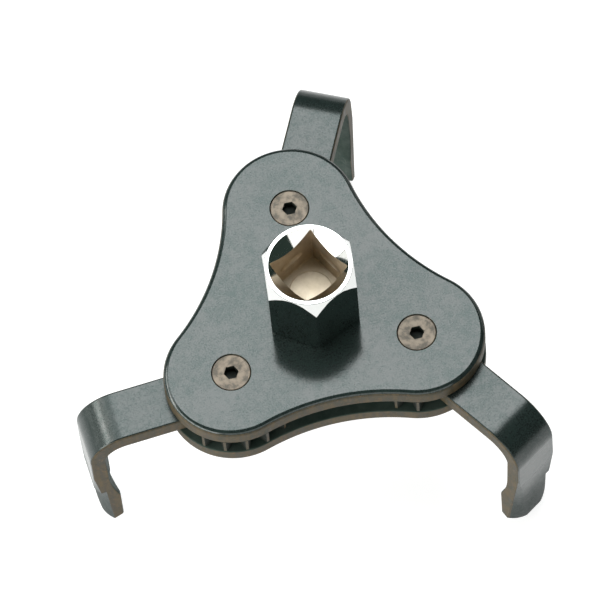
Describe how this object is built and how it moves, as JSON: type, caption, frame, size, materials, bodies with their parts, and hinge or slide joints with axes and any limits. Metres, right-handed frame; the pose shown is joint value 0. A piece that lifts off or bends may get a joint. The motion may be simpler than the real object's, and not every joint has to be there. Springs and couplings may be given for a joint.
{
  "type": "oil filter wrench",
  "caption": "Two-way claw oil filter wrench: bent claws geared to a square-drive hub between lobed plates swing inwards together and grip the filter whichever way the hub turns.",
  "frame": {"origin": "centre of the floor of the hub's square drive socket, on the hub's axis", "axes": "+Z along the hub's axis, out of the socket; +Y from the hub's axis towards the first claw's pivot; the claws reach towards -Z"},
  "size_m": [0.1077, 0.1081, 0.0701],
  "materials": {
    "black_oxide_steel": "black oxide, semi-gloss",
    "chrome": "polished chrome plate",
    "plain_steel": "zinc-plated, satin",
    "hardened_steel": "ground and oiled"
  },
  "bodies": {
    "housing": {"top_plate": "black_oxide_steel", "bottom_plate": "black_oxide_steel", "pivot_screw_1": "plain_steel", "pivot_screw_2": "plain_steel", "pivot_screw_3": "plain_steel", "pivot_sleeve_1": "hardened_steel", "pivot_sleeve_2": "hardened_steel", "pivot_sleeve_3": "hardened_steel", "lock_washer_1": "plain_steel", "lock_washer_2": "plain_steel", "lock_washer_3": "plain_steel", "pivot_nut_1": "plain_steel", "pivot_nut_2": "plain_steel", "pivot_nut_3": "plain_steel"},
    "hub": {"drive_hub": "chrome", "sun_gear": "hardened_steel", "thrust_washer": "plain_steel", "retaining_ring": "hardened_steel"},
    "claw_a": {"claw_1": "black_oxide_steel"},
    "claw_b": {"claw_2": "black_oxide_steel"},
    "claw_c": {"claw_3": "black_oxide_steel"}
  },
  "joints": [
    {"name": "hub_spin", "type": "hinge", "parent": "housing", "child": "hub", "pos_m": [0, 0, 0], "axis": [0, 0, 1], "range_deg": [-171, 106]},
    {"name": "claw_1_swing", "type": "hinge", "parent": "housing", "child": "claw_a", "pos_m": [0, 0.0255, 0], "axis": [0, 0, 1], "range_deg": [-84, 135.1]},
    {"name": "claw_2_swing", "type": "hinge", "parent": "housing", "child": "claw_b", "pos_m": [-0.02208, -0.01275, 0], "axis": [0, 0, 1], "range_deg": [-84, 135.1]},
    {"name": "claw_3_swing", "type": "hinge", "parent": "housing", "child": "claw_c", "pos_m": [0.02208, -0.01275, 0], "axis": [0, 0, 1], "range_deg": [-84, 135.1]}
  ],
  "couplings": [
    {"joint": "claw_1_swing", "follows": "hub_spin", "ratio": -0.78947},
    {"joint": "claw_2_swing", "follows": "hub_spin", "ratio": -0.78947},
    {"joint": "claw_3_swing", "follows": "hub_spin", "ratio": -0.78947}
  ]
}
